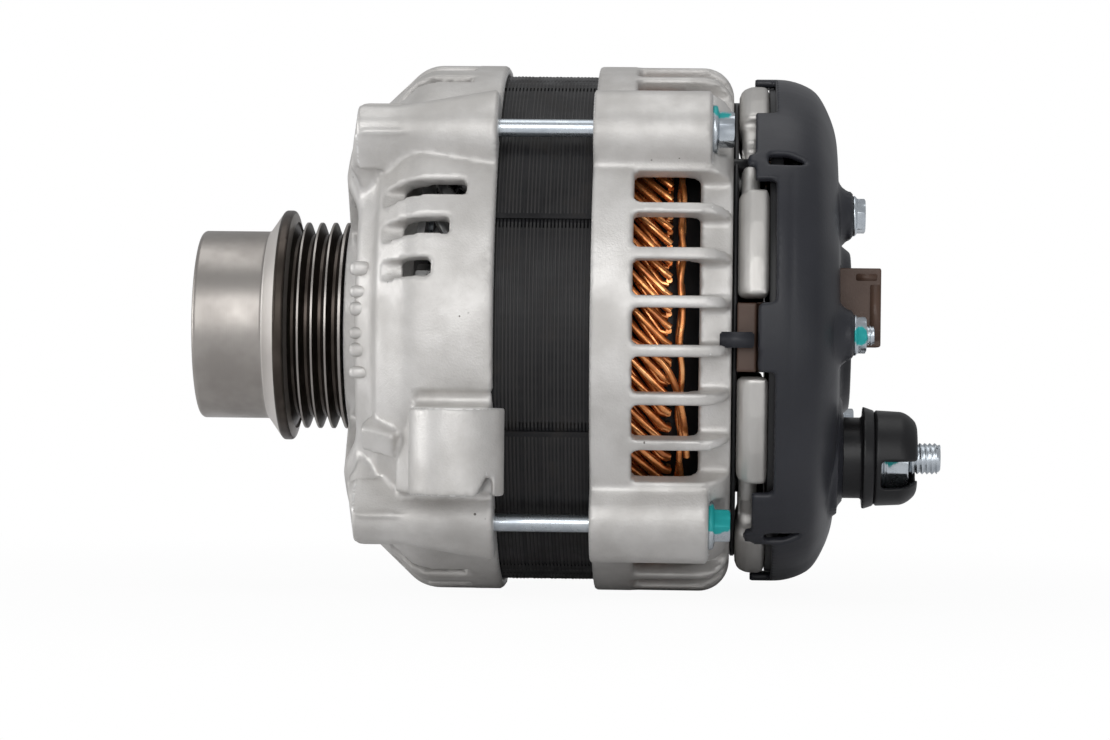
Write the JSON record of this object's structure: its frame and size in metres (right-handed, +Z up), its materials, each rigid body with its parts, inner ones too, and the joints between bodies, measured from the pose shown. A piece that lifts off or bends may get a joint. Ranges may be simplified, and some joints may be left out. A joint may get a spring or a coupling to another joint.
{
  "type": "engine alternator",
  "caption": "Belt-driven alternator with finned cast housings, an overrunning grooved pulley, a cross-bored mounting lug on each side and a stud terminal on its domed rear cover.",
  "frame": {"origin": "on the shaft axis, at the middle of the belt grooves", "axes": "+X along the shaft from the pulley to the rear cover, +Z up, the mounting lug of the pictured side at -Y"},
  "size_m": [0.1934, 0.1754, 0.1376],
  "materials": {
    "cast_aluminium": "sand-blasted casting",
    "sink_aluminium": "satin extrusion",
    "core_steel": "black varnished laminations",
    "copper": "enamelled copper",
    "varnished_copper": "dark impregnating varnish",
    "pulley_steel": "turned steel",
    "bearing_steel": "ground steel",
    "zinc_steel": "zinc plated",
    "plain_steel": "plain steel",
    "dark_steel": "black oxide",
    "pole_iron": "forged soft iron",
    "cover_plastic": "satin moulding",
    "black_plastic": "moulded",
    "brown_plastic": "moulded",
    "bobbin_plastic": "moulded",
    "carbon": "pressed carbon and copper"
  },
  "bodies": {
    "root": {"front_housing": "cast_aluminium", "rear_housing": "cast_aluminium", "stator_core": "core_steel", "winding_front": "varnished_copper", "winding_rear": "copper", "through_bolts": "zinc_steel", "bearing_retainer": "plain_steel", "retainer_screw_set": "zinc_steel", "front_bearing_outer": "bearing_steel", "rear_bearing_outer": "bearing_steel", "rear_bearing_sleeve": "black_plastic", "heat_sink_negative": "sink_aluminium", "heat_sink_positive": "sink_aluminium", "diodes_negative": "plain_steel", "diodes_positive": "plain_steel", "terminal_plate": "black_plastic", "phase_leads": "copper", "brush_holder": "black_plastic", "brush_spring_front": "plain_steel", "brush_spring_rear": "plain_steel", "regulator": "brown_plastic", "connector_pins": "copper", "rear_cover": "cover_plastic", "cover_studs": "zinc_steel", "cover_nuts": "zinc_steel", "output_stud_bolt": "zinc_steel", "output_insulator": "black_plastic", "output_shroud": "black_plastic", "output_washer_disc": "zinc_steel", "output_nut_hexagon": "zinc_steel"},
    "rotor": {"rotor_shaft": "plain_steel", "slinger": "dark_steel", "pulley_hub": "plain_steel", "front_bearing_inner": "bearing_steel", "rear_bearing_inner": "bearing_steel", "claw_pole_front": "pole_iron", "claw_pole_rear": "pole_iron", "coil_bobbin": "bobbin_plastic", "field_coil": "varnished_copper", "fan_front": "plain_steel", "fan_rear": "plain_steel", "slip_ring_sleeve": "bobbin_plastic", "slip_ring_front": "copper", "slip_ring_rear": "copper", "pulley_bearing_inner": "bearing_steel", "clutch_rollers": "bearing_steel"},
    "pulley": {"pulley_shell": "pulley_steel", "pulley_cap": "dark_steel", "clutch_sleeve": "bearing_steel", "pulley_bearing_outer": "bearing_steel"},
    "front_balls": {"front_bearing_balls": "bearing_steel"},
    "rear_balls": {"rear_bearing_balls": "bearing_steel"},
    "pulley_balls": {"pulley_bearing_balls": "bearing_steel"},
    "front_brush": {"brush_front": "carbon"},
    "rear_brush": {"brush_rear": "carbon"}
  },
  "joints": [
    {"name": "rotor_spin", "type": "hinge", "parent": "root", "child": "rotor", "pos_m": [0, 0, 0], "axis": [1, 0, 0], "continuous": true},
    {"name": "pulley_overrun", "type": "hinge", "parent": "rotor", "child": "pulley", "pos_m": [0, 0, 0], "axis": [1, 0, 0], "continuous": true},
    {"name": "front_cage_spin", "type": "hinge", "parent": "root", "child": "front_balls", "pos_m": [0, 0, 0], "axis": [1, 0, 0], "continuous": true},
    {"name": "rear_cage_spin", "type": "hinge", "parent": "root", "child": "rear_balls", "pos_m": [0, 0, 0], "axis": [1, 0, 0], "continuous": true},
    {"name": "pulley_cage_spin", "type": "hinge", "parent": "rotor", "child": "pulley_balls", "pos_m": [0, 0, 0], "axis": [1, 0, 0], "continuous": true},
    {"name": "front_brush_slide", "type": "slide", "parent": "root", "child": "front_brush", "axis": [0, -1, 0], "range_m": [0, 0.005], "stiffness_N_per_m": 300, "springref_m": -0.008, "deforming": ["brush_spring_front"]},
    {"name": "rear_brush_slide", "type": "slide", "parent": "root", "child": "rear_brush", "axis": [0, -1, 0], "range_m": [0, 0.005], "stiffness_N_per_m": 300, "springref_m": -0.008, "deforming": ["brush_spring_rear"]}
  ],
  "couplings": [
    {"joint": "front_cage_spin", "follows": "rotor_spin", "ratio": 0.364},
    {"joint": "rear_cage_spin", "follows": "rotor_spin", "ratio": 0.408},
    {"joint": "pulley_cage_spin", "follows": "pulley_overrun", "ratio": 0.569}
  ]
}
